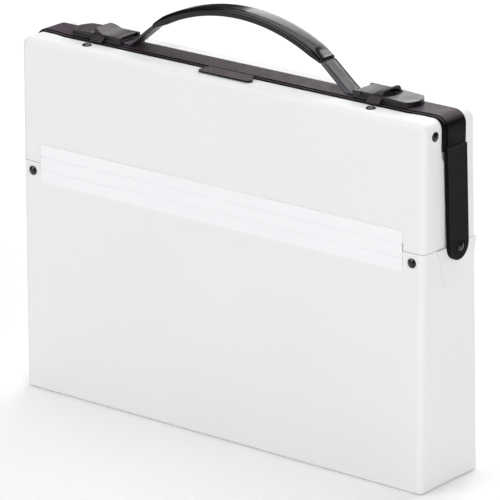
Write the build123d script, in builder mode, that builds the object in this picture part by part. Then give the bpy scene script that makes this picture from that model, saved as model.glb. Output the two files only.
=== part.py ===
"""Portfolio case: a white sheet case with a hinged front flap, a black U-frame, a handle and two latches.

Millimetres, +Z up, X across the width, the front faces -Y.
The origin is the centre of the flat base on the floor.
"""
import os

from build123d import *
from math import asin, cos, degrees, radians, sin, sqrt

os.makedirs("parts", exist_ok=True)

# ---- driving dimensions: case ----
WIDTH = 470.0
HEIGHT = 350.0
DEPTH_BASE = 92.0
DEPTH_TOP = 78.0
SHEET = 2.0
BEND = 6.5
REAR_TOP_BEND = 12.0
CORNER = 9.0
FRONT_Y = -DEPTH_BASE / 2
REAR_TOP_Y = FRONT_Y + DEPTH_TOP
HALF = WIDTH / 2

# ---- hinge line, its strip and the parting lines ----
HINGE_Z = 236.0
EAR_Z = 229.5
STRIP_HALF = 212.0
STRIP = 0.8
STRIP_UP = 12.0
STRIP_DOWN = 26.0
STRIP_GROOVE = 13.0
PART_GAP = 0.5

# ---- black frame ----
BAR_FRONT = -23.0
BAR_REAR = 4.5
CORNER_FRONT = -20.5
CORNER_REAR = 9.8
LEDGE = 3.0
LEDGE_DROP = 1.0
BAR = 2.0
BAR_TOP = HEIGHT + BAR
LEG = 4.0
LEG_CORNER = 12.0
LEG_Z = 320.0
ARM_WIDTH = 29.0
ARM_END_Z = 215.0
ARM_END_Y = 0.5
PLATE = 1.5
FLANGE_REAR = BAR_FRONT - 1.5
LEG_FLANGE_REAR = CORNER_FRONT - 1.5
SIDE_FLANGE_REAR = -15.0
TONGUE_X = 1.5
TONGUE_WIDTH = 59.0
TONGUE_FRONT = -38.8

# ---- rivets ----
RIVET_HEAD = 4.5
RIVET_SHANK = 1.9
HOLE = 2.0
TAB_THICK = 1.4
WING_FRONT = FRONT_Y + 11.0
WING_Z = 195.0

# ---- latches ----
LATCH_IN = 135.0
LATCH_OUT = 199.0
LATCH_FRONT = -19.6
LATCH_REAR = 9.4
LATCH_Y = (LATCH_FRONT + LATCH_REAR) / 2
LATCH_DEPTH = LATCH_REAR - LATCH_FRONT
LATCH_FLOOR = BAR_TOP + 3.6
LATCH_TOP = BAR_TOP + 7.0
PIN_X = 139.0
PIN_Z = BAR_TOP + 5.55
PIN_R = 0.8
PIN_LENGTH = 26.4
BARREL_R = 1.65
LEVER_END = 168.0
LEVER_UNDER = LATCH_FLOOR + 0.6
LEVER_TOP = BAR_TOP + 7.0
HOOD_X = 157.0
HOOD_TOP = BAR_TOP + 11.3
HOOK_X = 154.0
TUNNEL = 2.8
TUNNEL_END = 150.5
STOP_WIDTH = 20.0
SCREW_X = (158.0, 193.0)
STRIKE_X = 165.0
STRIKE_Y = FRONT_Y + 13.5

# ---- handle ----
HANDLE_Y = -7.5
GRIP_WIDTH = 22.6
GRIP_THICK = 9.0
STRAP_WIDTH = 21.6
CORE_WIDTH = 18.0
STRAP = 2.0
STRAP_NECK = 17.0
GRIP_END_X = 97.5
GRIP_MID_Z = BAR_TOP + 52.6
GRIP_END_Z = BAR_TOP + 25.0
SAG = GRIP_MID_Z - GRIP_END_Z
ARCH_R = (GRIP_END_X ** 2 + SAG ** 2) / (2 * SAG)
ARCH_Z = GRIP_MID_Z - ARCH_R
ARCH_ANGLE = degrees(asin(GRIP_END_X / ARCH_R))
CORE_ANGLE = ARCH_ANGLE - 4.0
STRAP_END_X = LATCH_IN + 3.0
STRAP_END_Z = BAR_TOP + 1.4


# ---- shared shapes ----
def case_block(grow):
    """Solid block with the outside form of the case, grown on every side by the given amount."""
    with BuildPart() as block:
        with BuildSketch(Plane.YZ):
            with BuildLine():
                Polyline(
                    (FRONT_Y - grow, -grow),
                    (-FRONT_Y + grow, -grow),
                    (REAR_TOP_Y + grow, HEIGHT + grow),
                    (FRONT_Y - grow, HEIGHT + grow),
                    close=True,
                )
            make_face()
        extrude(amount=HALF + grow, both=True)
        rear_top = block.edges().filter_by(Axis.X).group_by(Axis.Z)[-1].sort_by(Axis.Y)[-1]
        fillet(rear_top, radius=REAR_TOP_BEND + grow)
        side_top = block.edges().filter_by(Axis.Y).group_by(Axis.Z)[-1]
        fillet(side_top, radius=CORNER + grow)
        rest = block.edges().filter_by(lambda edge: edge.center().Y < FRONT_Y - grow + 0.1)
        fillet(rest.filter_by(lambda edge: edge.center().Z > 1), radius=BEND + grow)
        base = block.edges().filter_by(lambda edge: edge.center().Z < 0.1 - grow)
        fillet(base, radius=3.5 + grow)
    return block.part


OUTER = case_block(0)
INNER = case_block(-SHEET)


def rivet_shape(grip):
    """Domed rivet along +Z: head on the XY plane, shank through the grip and a flat tail below."""
    with BuildPart() as shape:
        with BuildSketch(Plane.XZ):
            with BuildLine():
                Polyline((0, 2.4), (0, -grip - 1.0), (3.4, -grip - 1.0), (3.4, -grip))
                Polyline((3.4, -grip), (RIVET_SHANK, -grip), (RIVET_SHANK, 0), (RIVET_HEAD, 0))
                Line((RIVET_HEAD, 0), (RIVET_HEAD, 0.6))
                TangentArc((0, 2.4), (RIVET_HEAD, 0.6), tangent=(1, 0))
            make_face()
        revolve(axis=Axis.Z)
    return shape.part


def side_plane(side, x, y, z):
    """Plane on a side wall with its normal pointing out of the case."""
    return Plane(origin=(side * x, y, z), x_dir=(0, 1, 0), z_dir=(side, 0, 0))


def front_plane(x, z):
    """Plane on the front face with its normal pointing to the front."""
    return Plane(origin=(x, FRONT_Y, z), x_dir=(1, 0, 0), z_dir=(0, -1, 0))


SIDES = {"right": 1, "left": -1}
FRONT_RIVETS = [front_plane(side * 222.0, 220.0) for side in (1, -1)]
FLAP_SIDE_RIVETS = [side_plane(side, HALF, FRONT_Y + 14.4, 336.5) for side in (1, -1)]
STRIKE_RIVETS = [Plane(origin=(side * STRIKE_X, STRIKE_Y, HEIGHT)) for side in (1, -1)]
ARM_RIVETS = [side_plane(side, HALF + PLATE + LEG, 3.0, ARM_END_Z + 12.0) for side in (1, -1)]


# ---- white body: lower front, base, rear panel, side walls and rear top flange ----
with BuildPart() as body_shell:
    add(OUTER)
    add(INNER, mode=Mode.SUBTRACT)
    with BuildSketch(Plane.XZ.offset(-FRONT_Y + 10)) as front_cut:
        with Locations((0, HEIGHT)):
            Rectangle(2 * STRIP_HALF + 2 * PART_GAP, 2 * (HEIGHT - HINGE_Z + PART_GAP))
            Rectangle(WIDTH + 40, 2 * (HEIGHT - EAR_Z + PART_GAP))
    extrude(amount=-(SIDE_FLANGE_REAR + 2.7 - FRONT_Y + 10), mode=Mode.SUBTRACT)
    with Locations(*FRONT_RIVETS, *ARM_RIVETS):
        Cylinder(HOLE, 30, mode=Mode.SUBTRACT)
    with Locations(*[(side * x, LATCH_Y, HEIGHT) for side in (1, -1) for x in SCREW_X]):
        Cylinder(1.8, 20, mode=Mode.SUBTRACT)
body_shell.part.label = "body_shell"
export_step(body_shell.part, "parts/body_shell.step")

# ---- white front flap: upper front, top flange, side flanges and the two ears ----
with BuildPart() as front_flap:
    add(OUTER)
    add(INNER, mode=Mode.SUBTRACT)
    with BuildSketch(Plane.XZ.offset(-FRONT_Y + 10)):
        Rectangle(WIDTH + 40, 2 * EAR_Z)
        Rectangle(2 * STRIP_HALF, 2 * HINGE_Z)
    extrude(amount=-(DEPTH_BASE + 20), mode=Mode.SUBTRACT)
    with BuildSketch(Plane.YZ):
        with BuildLine():
            Polyline(
                (LEG_FLANGE_REAR, HEIGHT + 10),
                (LEG_FLANGE_REAR, LEG_Z - 6),
                (SIDE_FLANGE_REAR, LEG_Z - 12),
                (SIDE_FLANGE_REAR, EAR_Z - 1),
                (DEPTH_BASE, EAR_Z - 1),
                (DEPTH_BASE, HEIGHT + 10),
                close=True,
            )
        make_face()
    extrude(amount=WIDTH, both=True, mode=Mode.SUBTRACT)
    with BuildSketch(Plane.XY.offset(HEIGHT - 5)):
        with BuildLine():
            Polyline(
                (-212, FLANGE_REAR + 10),
                (-212, LEG_FLANGE_REAR),
                (-200, FLANGE_REAR),
                (200, FLANGE_REAR),
                (212, LEG_FLANGE_REAR),
                (212, FLANGE_REAR + 10),
                close=True,
            )
        make_face()
        # notch under the centre tongue
        with Locations((TONGUE_X, FLANGE_REAR)):
            Rectangle(TONGUE_WIDTH - 11, 2 * 11.5)
    extrude(amount=10, mode=Mode.SUBTRACT)
    with Locations(*FLAP_SIDE_RIVETS, *STRIKE_RIVETS):
        Cylinder(HOLE, 12, mode=Mode.SUBTRACT)
front_flap.part.label = "front_flap"
export_step(front_flap.part, "parts/front_flap.step")


# ---- living-hinge strip, in two leaves that meet at the fold ----
def hinge_leaf(low, high, grooves):
    """One leaf of the moulded hinge strip on the front face, with shallow fold grooves."""
    with BuildPart() as leaf:
        with BuildSketch(Plane.XZ.offset(-FRONT_Y)):
            with Locations((0, (low + high) / 2)):
                Rectangle(2 * STRIP_HALF - 1, high - low)
        extrude(amount=STRIP)
        for z in grooves:
            with Locations((0, FRONT_Y - STRIP, z)):
                Box(WIDTH, STRIP, 0.6, mode=Mode.SUBTRACT)
    return leaf.part


hinge_leaf_upper = hinge_leaf(HINGE_Z + 0.2, HINGE_Z + STRIP_UP, [])
hinge_leaf_upper.label = "hinge_leaf_upper"
export_step(hinge_leaf_upper, "parts/hinge_leaf_upper.step")

hinge_leaf_lower = hinge_leaf(HINGE_Z - STRIP_DOWN, HINGE_Z - 0.2 - PART_GAP, [HINGE_Z - STRIP_GROOVE])
hinge_leaf_lower.label = "hinge_leaf_lower"
export_step(hinge_leaf_lower, "parts/hinge_leaf_lower.step")

# ---- raised side plates under the frame arms ----
for name, side in SIDES.items():
    with BuildPart() as side_plate:
        with BuildSketch(Plane.YZ.offset(side * HALF)):
            with BuildLine():
                Polyline(
                    (-12.5, LEG_Z - 0.5),
                    (-12.5, EAR_Z - 1.0),
                    (-27.0, EAR_Z - 1.0),
                    (-21.0, 206.0),
                    (-13.5, 189.5),
                    (26.0, 190.0),
                    (32.0, EAR_Z - 0.6),
                    (10.0, EAR_Z - 0.6),
                    (8.0, LEG_Z - 0.5),
                    close=True,
                )
            make_face()
            fillet(vertices().sort_by(Axis.Y)[:2], radius=7)
        extrude(amount=side * PLATE)
        with Locations(ARM_RIVETS[0 if side > 0 else 1]):
            Cylinder(HOLE, 30, mode=Mode.SUBTRACT)
    side_plate.part.label = "side_plate_" + name
    export_step(side_plate.part, "parts/side_plate_" + name + ".step")

# ---- black U-frame: bar, wrapped corners, arms and the centre tongue over the flap ----
def frame_layer(drop, ledge):
    """U-shaped layer over the top of the case: outline in XZ, cut to the plan of the bar and its corners."""
    with BuildPart() as layer:
        with BuildSketch(Plane.XZ):
            Rectangle(2 * (HALF + LEG - drop), 2 * (BAR_TOP - drop))
            fillet(vertices(), radius=LEG_CORNER - drop)
        extrude(amount=60, both=True)
        with BuildSketch(Plane.XY.offset(LEG_Z)):
            with BuildLine():
                Polyline((0, BAR_FRONT + ledge), (200, BAR_FRONT + ledge), (212, CORNER_FRONT + ledge),
                         (WIDTH, CORNER_FRONT + ledge), (WIDTH, CORNER_REAR), (131, CORNER_REAR),
                         (125, BAR_REAR), (0, BAR_REAR), close=True)
            make_face()
            mirror(about=Plane.YZ)
        extrude(amount=60, mode=Mode.INTERSECT)
    return layer.part


with BuildPart() as frame:
    add(frame_layer(0, LEDGE))
    add(frame_layer(LEDGE_DROP, 0))
    add(OUTER, mode=Mode.SUBTRACT)
    for side in (1, -1):
        with BuildSketch(Plane.YZ.offset(side * (HALF + PLATE))):
            with BuildLine():
                Polyline(
                    (CORNER_FRONT + 1.0, LEG_Z + 3.0),
                    (ARM_END_Y - ARM_WIDTH / 2, ARM_END_Z + ARM_WIDTH / 2),
                    (ARM_END_Y + ARM_WIDTH / 2, ARM_END_Z + ARM_WIDTH / 2),
                    (CORNER_REAR, LEG_Z + 3.0),
                    close=True,
                )
            make_face()
            with Locations((ARM_END_Y, ARM_END_Z + ARM_WIDTH / 2)):
                Circle(ARM_WIDTH / 2)
        extrude(amount=side * LEG)
    # centre tongue, clear of the flap's path
    with BuildSketch(Plane.XY.offset(HEIGHT + 0.9)):
        with BuildLine():
            Polyline(
                (TONGUE_X - TONGUE_WIDTH / 2 - 1.5, TONGUE_FRONT + 5.0),
                (TONGUE_X - TONGUE_WIDTH / 2 + 1.5, TONGUE_FRONT),
                (TONGUE_X + TONGUE_WIDTH / 2 - 1.5, TONGUE_FRONT),
                (TONGUE_X + TONGUE_WIDTH / 2 + 1.5, TONGUE_FRONT + 5.0),
                (TONGUE_X + TONGUE_WIDTH / 2 - 9.0, BAR_FRONT + 4.0),
                (TONGUE_X - TONGUE_WIDTH / 2 + 2.0, BAR_FRONT + 4.0),
                close=True,
            )
        make_face()
    extrude(amount=1.3)
    # groove between the tongue and the bar
    with Locations((TONGUE_X, BAR_FRONT + 2.3, BAR_TOP + 0.2)):
        Box(TONGUE_WIDTH + 8, 1.4, 1.6, mode=Mode.SUBTRACT)
    with Locations(*ARM_RIVETS):
        Cylinder(HOLE, 30, mode=Mode.SUBTRACT)
        Cylinder(RIVET_HEAD + 1.6, 1.2, mode=Mode.SUBTRACT)
    with Locations(*[(side * x, LATCH_Y, HEIGHT) for side in (1, -1) for x in SCREW_X]):
        Cylinder(1.8, 20, mode=Mode.SUBTRACT)
frame.part.label = "frame"
export_step(frame.part, "parts/frame.step")


# ---- latches: base, lever, pin, strike and screws on each side ----
def latch_base(side):
    """Latch base on the bar: strap tunnel under the lever, two pin lugs and a rounded outer block."""
    with BuildPart() as base:
        with BuildSketch(Plane.XY.offset(BAR_TOP)):
            with BuildLine():
                Polyline((LATCH_OUT - 6, LATCH_REAR), (LATCH_IN, LATCH_REAR), (LATCH_IN, LATCH_FRONT),
                         (LATCH_OUT - 6, LATCH_FRONT))
                ThreePointArc((LATCH_OUT - 6, LATCH_FRONT), (LATCH_OUT, LATCH_Y), (LATCH_OUT - 6, LATCH_REAR))
            make_face()
        extrude(amount=LATCH_TOP - BAR_TOP)
        # seat of the lever
        with Locations(((PIN_X + 4.5 + LEVER_END + 0.4) / 2, LATCH_Y, LATCH_FLOOR + 5)):
            Box(LEVER_END + 0.4 - PIN_X - 4.5, 60, 10, mode=Mode.SUBTRACT)
        with Locations((PIN_X, LATCH_Y, LATCH_FLOOR + 5)):
            Box(16, LATCH_DEPTH - 5.4, 10, mode=Mode.SUBTRACT)
        # sloping top of the outer block
        with BuildSketch(Plane.XZ.offset(-LATCH_Y)):
            with BuildLine():
                Polyline((LEVER_END, BAR_TOP + 6.6), (LATCH_OUT + 1, BAR_TOP + 5.2),
                         (LATCH_OUT + 1, BAR_TOP + 12), (LEVER_END, BAR_TOP + 12), close=True)
            make_face()
        extrude(amount=LATCH_DEPTH, both=True, mode=Mode.SUBTRACT)
        # moulded groove along the front and rear faces
        with Locations(((LATCH_IN + LATCH_OUT) / 2, LATCH_Y, BAR_TOP + 2.7)):
            Box(LATCH_OUT - LATCH_IN - 12, LATCH_DEPTH, 1.0, mode=Mode.SUBTRACT)
            Box(LATCH_OUT - LATCH_IN - 12, LATCH_DEPTH - 1.6, 1.0)
        # long shallow finger scoop behind the hood of the lever
        with BuildSketch(Plane.YZ.offset(LEVER_END + 1)):
            with BuildLine():
                ThreePointArc((LATCH_Y - 26, BAR_TOP + 14), (LATCH_Y, BAR_TOP + 4),
                              (LATCH_Y + 26, BAR_TOP + 14))
                Line((LATCH_Y + 26, BAR_TOP + 14), (LATCH_Y - 26, BAR_TOP + 14))
            make_face()
        revolve(axis=Axis((LEVER_END + 1, 0, BAR_TOP + 14), (0, 1, 0)), mode=Mode.SUBTRACT)
        # strap tunnel, narrower at its mouth than inside so that the stop stays in
        with Locations(((LATCH_IN + 2 + TUNNEL_END) / 2, HANDLE_Y, BAR_TOP + TUNNEL / 2)):
            Box(TUNNEL_END - LATCH_IN - 2, STOP_WIDTH + 1, TUNNEL, mode=Mode.SUBTRACT)
        with Locations((LATCH_IN, HANDLE_Y, BAR_TOP + TUNNEL / 2)):
            Box(8, STRAP_NECK + 1, TUNNEL, mode=Mode.SUBTRACT)
        with Locations((PIN_X, LATCH_Y, PIN_Z)):
            Cylinder(PIN_R, PIN_LENGTH, rotation=(90, 0, 0), mode=Mode.SUBTRACT)
        # screw bosses are drilled from below
        with Locations(*[(x, LATCH_Y, BAR_TOP) for x in SCREW_X]):
            Cylinder(1.2, 5.6, mode=Mode.SUBTRACT)
        if side < 0:
            mirror(about=Plane.YZ, mode=Mode.REPLACE)
    return base.part


def latch_lever(side):
    """Latch lever: barrel on the pin, flat plate, raised finger hood and the hook tongue in front."""
    thick = LEVER_TOP - LEVER_UNDER
    with BuildPart() as lever:
        with Locations(((PIN_X + LEVER_END) / 2, LATCH_Y, LEVER_UNDER + thick / 2)):
            Box(LEVER_END - PIN_X, LATCH_DEPTH - 6.4, thick)
        with Locations(((PIN_X + 5.2 + LEVER_END) / 2, LATCH_Y, LEVER_UNDER + thick / 2)):
            Box(LEVER_END - PIN_X - 5.2, LATCH_DEPTH - 0.6, thick)
        with Locations((PIN_X, LATCH_Y, PIN_Z)):
            Cylinder(BARREL_R, LATCH_DEPTH - 6.4, rotation=(90, 0, 0))
        # arched hood that rises towards the free end, with a finger pocket under it
        with BuildPart(mode=Mode.PRIVATE) as hood:
            with BuildSketch(Plane.YZ.offset(HOOD_X)):
                with Locations((LATCH_Y, (LEVER_UNDER + HOOD_TOP) / 2)):
                    Rectangle(LATCH_DEPTH - 0.6, HOOD_TOP - LEVER_UNDER)
                fillet(vertices().group_by(Axis.Y)[-1], radius=4.8)
            extrude(amount=LEVER_END - HOOD_X)
            with BuildSketch(Plane.XZ.offset(-LATCH_Y)):
                with BuildLine():
                    Polyline((HOOD_X, LEVER_TOP), (LEVER_END - 1.5, HOOD_TOP),
                             (LEVER_END - 1.5, HOOD_TOP + 9), (HOOD_X, HOOD_TOP + 9), close=True)
                make_face()
            extrude(amount=LATCH_DEPTH, both=True, mode=Mode.SUBTRACT)
        add(hood.part)
        with BuildSketch(Plane.YZ.offset(LEVER_END)):
            with Locations((LATCH_Y, LEVER_UNDER)):
                Ellipse(12.2, 5.4)
        with BuildSketch(Plane.YZ.offset(LEVER_END - 8.5)):
            with Locations((LATCH_Y, LEVER_UNDER)):
                Ellipse(9, 0.8)
        loft(mode=Mode.SUBTRACT)
        # hook tongue, slanting down in front of the bar over the flange of the flap
        with BuildSketch(Plane.YZ.offset(HOOK_X)):
            with BuildLine():
                Polyline(
                    (LATCH_FRONT + 1.0, LEVER_TOP - 1.5),
                    (LATCH_FRONT + 0.3, LEVER_TOP - 1.5),
                    (BAR_FRONT - 1.8, HEIGHT + 2.6),
                    (BAR_FRONT - 1.8, HEIGHT + 1.4),
                    (BAR_FRONT - 0.4, HEIGHT + 1.4),
                    (BAR_FRONT - 0.4, HEIGHT + 2.4),
                    (LATCH_FRONT - 0.4, LEVER_UNDER),
                    (LATCH_FRONT + 1.0, LEVER_UNDER),
                    close=True,
                )
            make_face()
        extrude(amount=LEVER_END - HOOK_X)
        with Locations((PIN_X, LATCH_Y, PIN_Z)):
            Cylinder(PIN_R + 0.05, 60, rotation=(90, 0, 0), mode=Mode.SUBTRACT)
        if side < 0:
            mirror(about=Plane.YZ, mode=Mode.REPLACE)
    return lever.part


def latch_pin(side):
    """Plain pin that the lever turns on."""
    with BuildPart() as pin:
        with Locations((side * PIN_X, LATCH_Y, PIN_Z)):
            Cylinder(PIN_R, PIN_LENGTH - 0.2, rotation=(90, 0, 0))
        chamfer(pin.edges().filter_by(GeomType.CIRCLE), length=0.2)
    return pin.part


def latch_strike(side):
    """Stiffening plate under the flap's top flange, held by its rivet."""
    with BuildPart() as strike:
        with BuildSketch(Plane.XY.offset(HEIGHT - SHEET)):
            with Locations((side * (STRIKE_X - 4), STRIKE_Y)):
                RectangleRounded(30, 13, 2)
            with Locations((side * STRIKE_X, STRIKE_Y)):
                Circle(HOLE, mode=Mode.SUBTRACT)
        extrude(amount=-1.6)
    return strike.part


def latch_screws(side):
    """Two countersunk screws that hold the latch base through the rear flange and the bar."""
    with BuildPart() as screws:
        with Locations(*[(side * x, LATCH_Y, HEIGHT - SHEET) for x in SCREW_X]):
            Cylinder(1.1, 6.6, align=(Align.CENTER, Align.CENTER, Align.MIN))
            Cylinder(3.0, 1.6, align=(Align.CENTER, Align.CENTER, Align.MAX))
    return screws.part


LATCH_PIECES = {
    "latch_base": latch_base,
    "latch_lever": latch_lever,
    "latch_pin": latch_pin,
    "latch_strike": latch_strike,
    "latch_screws": latch_screws,
}
for name, side in SIDES.items():
    for piece, make in LATCH_PIECES.items():
        solid = make(side)
        solid.label = piece + "_" + name
        export_step(solid, "parts/" + piece + "_" + name + ".step")


# ---- handle: sleeve grip, strap core, the two strap ends and their stops ----
def arch_plane(angle):
    """Plane across the handle arch at an angle from its crown, local x along Y and local y radial."""
    tangent = (cos(radians(angle)), 0, -sin(radians(angle)))
    return Plane(origin=(0, HANDLE_Y, ARCH_Z), x_dir=(0, 1, 0), z_dir=tangent)


ARCH_AXIS = Axis((0, HANDLE_Y, ARCH_Z), (0, -1, 0))

with BuildPart() as handle_grip:
    with BuildSketch(arch_plane(ARCH_ANGLE)):
        with Locations((0, ARCH_R)):
            RectangleRounded(GRIP_WIDTH, GRIP_THICK, 3.6)
            Rectangle(CORE_WIDTH + 0.8, STRAP + 0.6, mode=Mode.SUBTRACT)
    revolve(axis=ARCH_AXIS, revolution_arc=2 * ARCH_ANGLE)
handle_grip.part.label = "handle_grip"
export_step(handle_grip.part, "parts/handle_grip.step")

with BuildPart() as handle_core:
    with BuildSketch(arch_plane(CORE_ANGLE)):
        with Locations((0, ARCH_R)):
            Rectangle(CORE_WIDTH, STRAP)
    revolve(axis=ARCH_AXIS, revolution_arc=2 * CORE_ANGLE)
handle_core.part.label = "handle_core"
export_step(handle_core.part, "parts/handle_core.step")


def on_arch(angle):
    """Point in X and Z on the centre line of the arch, at an angle from its crown."""
    return (ARCH_R * sin(radians(angle)), ARCH_Z + ARCH_R * cos(radians(angle)))


def strap_end(side):
    """Flat strap from the grip to the tunnel of the latch base, narrower inside the grip and the tunnel."""
    neck_x = STRAP_END_X - 10.5
    with BuildPart() as strap:
        with BuildSketch(Plane.XZ.offset(-HANDLE_Y)):
            with BuildLine():
                inner = on_arch(CORE_ANGLE + 0.2)
                outer = on_arch(ARCH_ANGLE)
                knee = (STRAP_END_X - 13.0, STRAP_END_Z + 2.6)
                middle = on_arch((CORE_ANGLE + ARCH_ANGLE) / 2)
                ThreePointArc(inner, middle, outer)
                Line(outer, knee)
                Line(knee, (STRAP_END_X - 8.5, STRAP_END_Z))
                Line((STRAP_END_X - 8.5, STRAP_END_Z), (STRAP_END_X, STRAP_END_Z))
            trace(line_width=STRAP)
        extrude(amount=STRAP_WIDTH / 2, both=True)
        for edge in (1, -1):
            with Locations((neck_x + 20, HANDLE_Y + edge * (STRAP_NECK / 2 + 10), STRAP_END_Z)):
                Box(40, 20, 20, mode=Mode.SUBTRACT)
            with Locations((GRIP_END_X + 0.8 - 20, HANDLE_Y + edge * (CORE_WIDTH / 2 + 10), GRIP_END_Z)):
                Box(40, 20, 60, mode=Mode.SUBTRACT)
        if side < 0:
            mirror(about=Plane.YZ, mode=Mode.REPLACE)
    return strap.part


for name, side in SIDES.items():
    strap = strap_end(side)
    strap.label = "handle_strap_" + name
    export_step(strap, "parts/handle_strap_" + name + ".step")
    with BuildPart() as strap_stop:
        with Locations((side * (STRAP_END_X + 2.2), HANDLE_Y, STRAP_END_Z)):
            Box(4, STOP_WIDTH, 2.4)
    strap_stop.part.label = "strap_stop_" + name
    export_step(strap_stop.part, "parts/strap_stop_" + name + ".step")


# ---- inner side wings that the flap closes over, held by the arm rivets ----
for name, side in SIDES.items():
    with BuildPart() as side_wing:
        with BuildSketch(Plane.YZ.offset(side * (HALF - SHEET))):
            with BuildLine():
                Polyline(
                    (WING_FRONT, WING_Z),
                    (WING_FRONT, LEG_Z - 12),
                    (LEG_FLANGE_REAR + 0.9, LEG_Z - 5),
                    (LEG_FLANGE_REAR + 0.9, HEIGHT - CORNER - 3),
                    (CORNER_REAR, HEIGHT - CORNER - 3),
                    (CORNER_REAR, WING_Z),
                    close=True,
                )
            make_face()
        extrude(amount=-side * TAB_THICK)
        with Locations(ARM_RIVETS[0 if side > 0 else 1]):
            Cylinder(HOLE, 30, mode=Mode.SUBTRACT)
    side_wing.part.label = "side_wing_" + name
    export_step(side_wing.part, "parts/side_wing_" + name + ".step")


# ---- inner corner tabs, behind the side and front rivets ----
for name, side in SIDES.items():
    with BuildPart() as flap_tab:
        with BuildSketch(Plane.YZ.offset(side * (HALF - SHEET))):
            with Locations((FRONT_Y + 14.5, 329.5)):
                RectangleRounded(14, 21, 3)
        extrude(amount=-side * TAB_THICK)
        with Locations(FLAP_SIDE_RIVETS[0 if side > 0 else 1]):
            Cylinder(HOLE, 12, mode=Mode.SUBTRACT)
    flap_tab.part.label = "flap_corner_tab_" + name
    export_step(flap_tab.part, "parts/flap_corner_tab_" + name + ".step")

    with BuildPart() as body_tab:
        with BuildSketch(Plane.XZ.offset(-FRONT_Y - SHEET)):
            with Locations((side * 217.5, 214.0)):
                RectangleRounded(22, 22, 3)
        extrude(amount=-TAB_THICK)
        with Locations(FRONT_RIVETS[0 if side > 0 else 1]):
            Cylinder(HOLE, 12, mode=Mode.SUBTRACT)
    body_tab.part.label = "body_corner_tab_" + name
    export_step(body_tab.part, "parts/body_corner_tab_" + name + ".step")


# ---- rivets, one node for each group ----
def rivet_group(places, grip):
    """Group of equal rivets, one solid at each place."""
    shape = rivet_shape(grip)
    with BuildPart() as group:
        with Locations(*places):
            add(shape)
    return group.part


ARM_SEATS = [side_plane(side, HALF + PLATE + LEG - 0.6, 3.0, ARM_END_Z + 12.0) for side in (1, -1)]
RIVET_GROUPS = {
    "front_rivets": (FRONT_RIVETS, SHEET + TAB_THICK),
    "flap_side_rivets": (FLAP_SIDE_RIVETS, SHEET + TAB_THICK),
    "strike_rivets": (STRIKE_RIVETS, SHEET + 1.6),
    "arm_rivets": (ARM_SEATS, TAB_THICK + SHEET + PLATE + LEG - 0.6),
}
for name, (places, grip) in RIVET_GROUPS.items():
    group = rivet_group(places, grip)
    group.label = name
    export_step(group, "parts/" + name + ".step")
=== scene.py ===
"""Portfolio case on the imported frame: materials, handle, hinge web, studio and camera. Metres, +Z up."""
import math

import bmesh
import bpy
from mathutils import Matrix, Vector

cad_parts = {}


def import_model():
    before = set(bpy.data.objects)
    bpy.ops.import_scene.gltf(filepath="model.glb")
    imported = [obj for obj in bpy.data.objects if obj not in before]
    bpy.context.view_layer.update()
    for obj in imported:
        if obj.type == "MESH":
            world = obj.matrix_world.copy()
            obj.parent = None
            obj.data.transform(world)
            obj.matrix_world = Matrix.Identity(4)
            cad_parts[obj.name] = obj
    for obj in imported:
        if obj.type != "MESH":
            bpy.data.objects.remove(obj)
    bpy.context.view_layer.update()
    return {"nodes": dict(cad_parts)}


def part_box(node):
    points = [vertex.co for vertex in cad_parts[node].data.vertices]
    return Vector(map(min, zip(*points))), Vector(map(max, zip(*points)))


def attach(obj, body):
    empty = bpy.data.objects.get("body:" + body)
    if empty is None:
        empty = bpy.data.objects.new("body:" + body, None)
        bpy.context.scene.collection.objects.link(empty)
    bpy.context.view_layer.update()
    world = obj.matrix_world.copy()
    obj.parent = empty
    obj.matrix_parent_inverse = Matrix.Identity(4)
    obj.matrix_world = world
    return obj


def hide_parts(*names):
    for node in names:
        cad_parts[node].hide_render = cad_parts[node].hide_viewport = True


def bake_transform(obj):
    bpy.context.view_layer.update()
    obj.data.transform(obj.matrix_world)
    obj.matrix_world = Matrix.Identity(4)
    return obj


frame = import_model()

MM = 0.001

# ---- places read from the frame ----
GRIP_LOW, GRIP_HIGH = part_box("handle_grip")
STRAP_LOW, STRAP_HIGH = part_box("handle_strap_right")
HANDLE_Y = (GRIP_LOW.y + GRIP_HIGH.y) / 2


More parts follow.
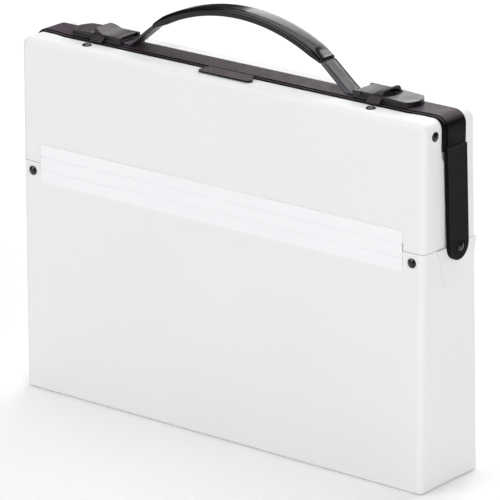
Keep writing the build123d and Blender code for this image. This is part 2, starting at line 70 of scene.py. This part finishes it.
# ---- node helpers ----
class Nodes:
    """Small wrapper that adds and links shader nodes of one material."""

    def __init__(self, name):
        self.material = bpy.data.materials.new(name)
        self.material.use_nodes = True
        self.tree = self.material.node_tree
        self.shader = self.tree.nodes["Principled BSDF"]

    def add(self, kind, **values):
        node = self.tree.nodes.new(kind)
        for key, value in values.items():
            setattr(node, key, value)
        return node

    def link(self, source, target):
        self.tree.links.new(source, target)

    def noise(self, scale, detail=3.0, roughness=0.5, stretch=(1, 1, 1)):
        mapping = self.add("ShaderNodeMapping")
        mapping.inputs["Scale"].default_value = stretch
        self.link(self.add("ShaderNodeTexCoord").outputs["Object"], mapping.inputs["Vector"])
        node = self.add("ShaderNodeTexNoise")
        node.inputs["Scale"].default_value = scale
        node.inputs["Detail"].default_value = detail
        node.inputs["Roughness"].default_value = roughness
        self.link(mapping.outputs["Vector"], node.inputs["Vector"])
        return node.outputs["Fac"]

    def ramp(self, source, low, high, low_value, high_value):
        node = self.add("ShaderNodeMapRange")
        node.inputs["From Min"].default_value = low
        node.inputs["From Max"].default_value = high
        node.inputs["To Min"].default_value = low_value
        node.inputs["To Max"].default_value = high_value
        self.link(source, node.inputs["Value"])
        return node.outputs["Result"]

    def math(self, operation, first, second):
        node = self.add("ShaderNodeMath", operation=operation)
        for socket, value in zip(node.inputs, (first, second)):
            if isinstance(value, (int, float)):
                socket.default_value = value
            else:
                self.link(value, socket)
        return node.outputs["Value"]

    def mix_colour(self, factor, first, second):
        node = self.add("ShaderNodeMix", data_type="RGBA")
        self.link(factor, node.inputs["Factor"])
        colour_sockets = [socket for socket in node.inputs if socket.type == "RGBA"]
        for socket, value in zip(colour_sockets, (first, second)):
            if isinstance(value, tuple):
                socket.default_value = (*value, 1)
            else:
                self.link(value, socket)
        return [socket for socket in node.outputs if socket.type == "RGBA"][0]

    def bump(self, height, strength, distance, under=None):
        node = self.add("ShaderNodeBump")
        node.inputs["Strength"].default_value = strength
        node.inputs["Distance"].default_value = distance
        self.link(height, node.inputs["Height"])
        if under:
            self.link(under, node.inputs["Normal"])
        return node.outputs["Normal"]

    def edge_wear(self, low, high):
        """Mask of the sharp outer edges, from the pointiness of the mesh."""
        return self.ramp(self.add("ShaderNodeNewGeometry").outputs["Pointiness"], low, high, 0, 1)


def sheet_material(name, light, dark, roughness):
    """White polypropylene sheet: faint clouding, fine grain, soft waves, a few scuffs and painted grey shade
    in the concave creases.
    """
    n = Nodes(name)
    tone = n.mix_colour(n.noise(9.0, 2.0), light, dark)
    speck = n.ramp(n.noise(900.0, 3.0, 0.6), 0.35, 0.75, 0.0, 0.35)
    tone = n.mix_colour(speck, tone, tuple(0.94 * value for value in dark))
    # Painted shade: concave creases and bends (low pointiness) are mixed towards grey, standing in for the
    # shade that falls in them.
    crease_painted_shade = n.ramp(n.add("ShaderNodeNewGeometry").outputs["Pointiness"], 0.47, 0.40, 0, 0.35)
    tone = n.mix_colour(crease_painted_shade, tone, (0.52, 0.52, 0.54))
    n.link(tone, n.shader.inputs["Base Color"])
    scuff = n.noise(60.0, 6.0, 0.7, (1.0, 1.0, 0.25))
    n.link(n.ramp(scuff, 0.35, 0.75, roughness - 0.05, roughness + 0.12), n.shader.inputs["Roughness"])
    n.shader.inputs["Specular IOR Level"].default_value = 0.35
    n.shader.inputs["Subsurface Weight"].default_value = 0.06
    n.shader.inputs["Subsurface Radius"].default_value = (0.003, 0.003, 0.003)
    wave = n.bump(n.noise(14.0, 1.0, 0.4, (1.0, 1.0, 0.6)), 0.10, 0.004)
    n.link(n.bump(n.noise(1300.0, 3.0), 0.22, 0.0002, wave), n.shader.inputs["Normal"])
    return n.material


def black_material(name, base, worn, roughness, specular, grain, top=None):
    """Moulded black plastic: fine grain, dusty patches, uneven gloss, polished edges and a paler top that is
    a painted sheen for the reflection of the light above.
    """
    n = Nodes(name)
    dust = n.ramp(n.noise(45.0, 5.0, 0.6), 0.42, 0.75, 0, 1)
    tone = n.mix_colour(dust, base, worn)
    tone = n.mix_colour(n.edge_wear(0.53, 0.62), tone, tuple(3 * value for value in worn))
    # Painted sheen: faces that point up are mixed towards the top colour, a painted reflection of the lights
    # above, varied by cloudy noise.
    if top:
        split = n.add("ShaderNodeSeparateXYZ")
        n.link(n.add("ShaderNodeTexCoord").outputs["Normal"], split.inputs["Vector"])
        painted_top_sheen_mask = n.ramp(split.outputs["Z"], 0.45, 0.95, 0, 1)
        sheen_cloud = n.ramp(n.noise(7.0, 3.0, 0.6), 0.3, 0.7, 0.55, 1.0)
        tone = n.mix_colour(n.math("MULTIPLY", painted_top_sheen_mask, sheen_cloud), tone, top)
    n.link(tone, n.shader.inputs["Base Color"])
    gloss = n.ramp(n.noise(120.0, 4.0), 0.3, 0.7, roughness - 0.06, roughness + 0.08)
    n.link(gloss, n.shader.inputs["Roughness"])
    n.shader.inputs["Specular IOR Level"].default_value = specular
    n.link(n.bump(n.noise(2200.0, 2.0), grain, 0.0002), n.shader.inputs["Normal"])
    return n.material


def steel_material():
    """Bright pin and screw steel with fine turning marks."""
    n = Nodes("bright_steel")
    tone = n.mix_colour(n.noise(300.0, 3.0), (0.56, 0.56, 0.57), (0.44, 0.44, 0.45))
    n.link(tone, n.shader.inputs["Base Color"])
    marks = n.noise(800.0, 3.0, 0.5, (1, 8, 1))
    n.link(n.ramp(marks, 0.3, 0.7, 0.22, 0.38), n.shader.inputs["Roughness"])
    n.shader.inputs["Metallic"].default_value = 1.0
    return n.material


SHEET = sheet_material("white_sheet", (0.835, 0.842, 0.84), (0.80, 0.805, 0.81), 0.44)
STRIP = sheet_material("white_strip", (0.885, 0.895, 0.91), (0.86, 0.87, 0.89), 0.34)
# The last colour of FRAME and LATCH is the painted top sheen: a paler tone on upward faces standing in for
# reflected light.
FRAME = black_material("frame_plastic", (0.0030, 0.0026, 0.0030), (0.005, 0.0045, 0.005), 0.38, 0.05, 0.30,
                       (0.085, 0.066, 0.080))
LATCH = black_material("latch_plastic", (0.004, 0.0036, 0.004), (0.009, 0.008, 0.009), 0.36, 0.36, 0.25,
                       (0.070, 0.056, 0.066))
GRIP = black_material("grip_plastic", (0.0035, 0.003, 0.004), (0.005, 0.0045, 0.0055), 0.17, 0.36, 0.015)
STRAP = black_material("strap_plastic", (0.024, 0.021, 0.027), (0.034, 0.030, 0.038), 0.42, 0.50, 0.20)
RIVET = black_material("rivet_plastic", (0.004, 0.004, 0.004), (0.008, 0.008, 0.008), 0.16, 0.5, 0.04)
STEEL = steel_material()


# ---- CAD nodes: materials and rounded edges ----
def dress(material, *starts):
    """Gives every CAD node whose name begins with one of the words this material."""
    for name, node in frame["nodes"].items():
        if name.startswith(starts):
            node.data.materials.clear()
            node.data.materials.append(material)


def round_edges(width, *starts):
    """Rounds the moulded edges of these CAD nodes with modifiers; their own vertices stay as they are."""
    for name, node in frame["nodes"].items():
        if name.startswith(starts):
            node.modifiers.new("weld", "WELD").merge_threshold = 0.000002
            flat = node.modifiers.new("flat", "DECIMATE")
            flat.decimate_type = "DISSOLVE"
            flat.angle_limit = math.radians(0.5)
            bevel = node.modifiers.new("bevel", "BEVEL")
            bevel.width = width
            bevel.segments = 2
            bevel.limit_method = "ANGLE"
            bevel.angle_limit = math.radians(38)
            bevel.use_clamp_overlap = True
            node.modifiers.new("normals", "WEIGHTED_NORMAL")


dress(SHEET, "body_", "front_flap", "side_", "flap_corner")
dress(STRIP, "hinge_")
dress(FRAME, "frame", "latch_strike")
dress(LATCH, "latch_base", "latch_lever")
dress(STRAP, "handle_core", "strap_stop")
dress(RIVET, "front_rivets", "flap_side_rivets", "strike_rivets", "arm_rivets")
dress(STEEL, "latch_pin", "latch_screws")
round_edges(0.6 * MM, "frame", "latch_base", "latch_lever")
round_edges(0.5 * MM, "side_plate")
round_edges(0.3 * MM, "body_shell", "front_flap", "hinge_leaf")


# ---- handle and hinge web: sizes ----
ARCH_HALF = 97.5 * MM
ARCH_SAG = 27.6 * MM
GRIP_THICK = 9.0 * MM
GRIP_STEPS = 96
TAPER_LENGTH = 15 * MM
GRIP_GROOVE = 0.8 * MM
GRIP_LIP = 1.2 * MM
SOCKET_DEPTH = 7.0 * MM
STRAP_THICK = 2.0 * MM
STRAP_INSIDE = 18.0 * MM
STRAP_NECK = 17.0 * MM
NECK_LENGTH = 10.5 * MM
KNEE_BACK = 15 * MM
KNEE_RISE = 2.4 * MM
WEB_DEPTH = 0.30 * MM
WEB_THICK = 0.22 * MM
WEB_OVERLAP = 0.5 * MM
GRIP_WIDTH = GRIP_HIGH.y - GRIP_LOW.y
ARCH_R = (ARCH_HALF ** 2 + ARCH_SAG ** 2) / (2 * ARCH_SAG)
ARCH_Z = GRIP_HIGH.z - GRIP_THICK / 2 - ARCH_R
ARCH_ANGLE = math.asin(ARCH_HALF / ARCH_R)


def new_piece(name, mesh_data, material):
    """Makes an object from a bmesh, smooth shaded, with one material."""
    mesh = bpy.data.meshes.new(name)
    bmesh.ops.recalc_face_normals(mesh_data, faces=mesh_data.faces)
    mesh_data.to_mesh(mesh)
    mesh_data.free()
    mesh.materials.append(material)
    for face in mesh.polygons:
        face.use_smooth = True
    piece = bpy.data.objects.new(name, mesh)
    bpy.context.scene.collection.objects.link(piece)
    return piece


def loft(rings, close_start=True, close_end=True):
    """Skins a list of closed rings of points."""
    shape = bmesh.new()
    rows = [[shape.verts.new(point) for point in ring] for ring in rings]
    count = len(rings[0])
    for first, second in zip(rows, rows[1:]):
        for k in range(count):
            shape.faces.new((first[k], first[(k + 1) % count], second[(k + 1) % count], second[k]))
    if close_start:
        shape.faces.new(rows[0])
    if close_end:
        shape.faces.new(rows[-1])
    return shape


def on_arch(angle, across, out):
    """Point at an angle from the crown, across the width and out along the radius."""
    radius = ARCH_R + out
    return Vector((radius * math.sin(angle), HANDLE_Y + across, ARCH_Z + radius * math.cos(angle)))


def sleeve_outline(thick, width, groove):
    """Outline of the sleeve: domed top, flatter underside and a groove along both sides."""
    points = []
    for k in range(56):
        turn = 2 * math.pi * k / 56
        side, rise = math.cos(turn), math.sin(turn)
        power = 0.62 if rise > 0 else 0.5
        across = math.copysign(abs(side) ** 0.55, side) * width / 2
        out = math.copysign(abs(rise) ** power, rise) * thick / 2
        dent = groove * math.exp(-(((out + 0.9 * MM) / (0.45 * MM)) ** 2)) * (abs(side) > 0.3)
        points.append((across - math.copysign(dent, across), out))
    return points


def sleeve():
    """Sleeve grip along the arch, tapered and hollow at both ends."""
    rings = [("in", -1, k) for k in (4, 3, 2, 1)]
    rings += [("out", 0, k) for k in range(GRIP_STEPS + 1)]
    rings += [("in", 1, k) for k in (1, 2, 3, 4)]
    inner = SOCKET_DEPTH / ARCH_R
    points = []
    for kind, end, k in rings:
        if kind == "out":
            angle = ARCH_ANGLE * (2 * k / GRIP_STEPS - 1)
            from_end = (ARCH_ANGLE - abs(angle)) * ARCH_R
            taper = min(1.0, from_end / TAPER_LENGTH)
            soft = taper * taper * (3 - 2 * taper)
            lip = max(0.0, 1 - from_end / GRIP_LIP)
            thick = GRIP_THICK * (0.66 + 0.34 * soft) - 0.8 * MM * lip * lip
            width = GRIP_WIDTH * (0.95 + 0.05 * soft) - 0.8 * MM * lip * lip
            outline = sleeve_outline(thick, width, GRIP_GROOVE * min(1.0, from_end / (4 * MM)))
        else:
            angle = end * (ARCH_ANGLE - inner * (k - 1) / 3)
            outline = sleeve_outline(GRIP_THICK * 0.40, GRIP_WIDTH * 0.88, 0)
        points.append([on_arch(angle, across, out) for across, out in outline])
    piece = new_piece("grip_sleeve", loft(points), GRIP)
    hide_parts("handle_grip")
    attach(piece, "grip")


def smooth_path(points, rounds):
    """Corner-cutting of an open polyline, keeping its ends."""
    for _ in range(rounds):
        cut = [points[0]]
        for a, b in zip(points, points[1:]):
            cut += [a.lerp(b, 0.25), a.lerp(b, 0.75)]
        points = cut + [points[-1]]
    return points


def strap_outline(width, thick):
    """Flat strap section with rounded edges and a shallow groove near each edge, above and below."""
    half = width / 2
    inward = [0, 0.5 * MM, 1.6 * MM, 2.0 * MM, 2.4 * MM, 2.8 * MM]
    steps = [-half + inset for inset in inward] + [-half * 0.4, 0, half * 0.4]
    steps += [half - inset for inset in reversed(inward)]
    top = []
    for index, across in enumerate(steps):
        lift = thick / 2
        if index in (0, len(steps) - 1):
            lift = thick / 2 - 0.5 * MM
        if index in (3, 4, 10, 11):
            lift = thick / 2 - 0.35 * MM
        top.append((across, lift))
    return top + [(across, -lift) for across, lift in reversed(top)]


def strap(side):
    """Flat strap end from inside the sleeve into the tunnel of the latch base."""
    end = STRAP_HIGH.x
    floor = STRAP_LOW.z + 1.0 * MM
    inner = ARCH_ANGLE - math.radians(3.8)
    top = on_arch(ARCH_ANGLE, 0, 0)
    knee = Vector((end - KNEE_BACK, HANDLE_Y, floor + KNEE_RISE))
    points = [on_arch(inner, 0, 0), top] + [top.lerp(knee, k / 6) for k in range(1, 7)]
    points += [Vector((end - back * MM, HANDLE_Y, floor)) for back in (11.4, 10.6, 0)]
    path = smooth_path(points, 2)
    rings = []
    for index, point in enumerate(path):
        before, after = path[max(index - 1, 0)], path[min(index + 1, len(path) - 1)]
        along = (after - before).normalized()
        normal = Vector((-along.z, 0, along.x))
        width = STRAP_HIGH.y - STRAP_LOW.y
        if point.x < ARCH_HALF + 0.4 * MM:
            width = STRAP_INSIDE
        if point.x > end - NECK_LENGTH:
            width = STRAP_NECK
        outline = strap_outline(width, STRAP_THICK)
        ring = [point + Vector((0, across, 0)) + normal * out for across, out in outline]
        rings.append([Vector((side * p.x, p.y, p.z)) for p in ring])
    name = "right" if side > 0 else "left"
    piece = new_piece("strap_end_" + name, loft(rings), STRAP)
    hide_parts("handle_strap_" + name)
    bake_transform(piece)


def hinge_web():
    """Thin web that joins the two leaves of the moulded hinge, set back in the fold line."""
    low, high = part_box("hinge_leaf_lower"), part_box("hinge_leaf_upper")
    half = high[1].x - 0.8 * MM
    front, middle = low[0].y, (low[1].z + high[0].z) / 2
    reach = (high[0].z - low[1].z) / 2 + WEB_OVERLAP
    rings = []
    for k in range(49):
        x = half * (2 * k / 48 - 1)
        outline = []
        for step in range(9):
            t = step / 4 - 1
            outline.append(Vector((x, front + WEB_DEPTH + 0.12 * MM * (1 - t * t), middle + t * reach)))
        back = [Vector((point.x, point.y + WEB_THICK, point.z)) for point in reversed(outline)]
        rings.append(outline + back)
    piece = new_piece("hinge_web", loft(rings), STRIP)
    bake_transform(piece)


hinge_web()
sleeve()
strap(1)
strap(-1)


# ---- studio ----
def pale_material():
    n = Nodes("studio_floor")
    n.link(n.mix_colour(n.noise(3.0), (0.93, 0.93, 0.93), (0.91, 0.91, 0.91)), n.shader.inputs["Base Color"])
    n.shader.inputs["Roughness"].default_value = 0.9
    n.shader.inputs["Specular IOR Level"].default_value = 0.1
    return n.material


def floor():
    """Plain pale floor."""
    shape = bmesh.new()
    corners = ((-1, -1), (1, -1), (1, 1), (-1, 1))
    shape.faces.new([shape.verts.new((x * FLOOR_REACH, y * FLOOR_REACH, 0)) for x, y in corners])
    piece = new_piece("studio_floor", shape, pale_material())


def area_light(name, place, aim, size, power):
    data = bpy.data.lights.new(name, "AREA")
    data.shape = "RECTANGLE"
    data.size, data.size_y = size
    data.energy = power
    lamp = bpy.data.objects.new(name, data)
    bpy.context.scene.collection.objects.link(lamp)
    lamp.location = place
    lamp.rotation_euler = (Vector(aim) - Vector(place)).to_track_quat("-Z", "Y").to_euler()
    lamp.visible_camera = False


def world():
    scene_world = bpy.data.worlds.new("studio")
    scene_world.use_nodes = True
    background = scene_world.node_tree.nodes["Background"]
    background.inputs["Color"].default_value = (1, 1, 1, 1)
    background.inputs["Strength"].default_value = WORLD
    bpy.context.scene.world = scene_world


WORLD = 0.055
FLOOR_REACH = 9
AZIMUTH = math.radians(38.1)
ELEVATION = math.radians(18.6)
DISTANCE = 4.162
AIM = Vector((0.0056, -0.0035, 0.1763))
LENS = 323.0


def camera():
    data = bpy.data.cameras.new("camera")
    data.lens = LENS
    data.sensor_width = 36.0
    data.clip_end = 60.0
    item = bpy.data.objects.new("camera", data)
    bpy.context.scene.collection.objects.link(item)
    flat = math.cos(ELEVATION)
    back = Vector((math.sin(AZIMUTH) * flat, -math.cos(AZIMUTH) * flat, math.sin(ELEVATION)))
    item.location = AIM + DISTANCE * back
    item.rotation_euler = (-back).to_track_quat("-Z", "Y").to_euler()
    bpy.context.scene.camera = item


floor()
world()
area_light("key", (-1.6, -3.2, 2.2), (0, 0, 0.2), (2.4, 2.4), 74)
area_light("right", (3.2, -1.7, 1.6), (0, 0, 0.2), (1.6, 1.6), 72)
area_light("top", (-0.6, 0.8, 3.4), (-0.2, 0.2, 0), (3.2, 3.2), 82)
area_light("rear", (-0.9, 3.4, 1.9), (0, 0, 0.35), (3.0, 2.2), 62)
area_light("rear_right", (0.9, 3.0, 2.5), (0.2, 0, 0.35), (0.9, 0.9), 22)
camera()
bpy.context.scene.view_settings.view_transform = "Standard"

bpy.context.view_layer.update()
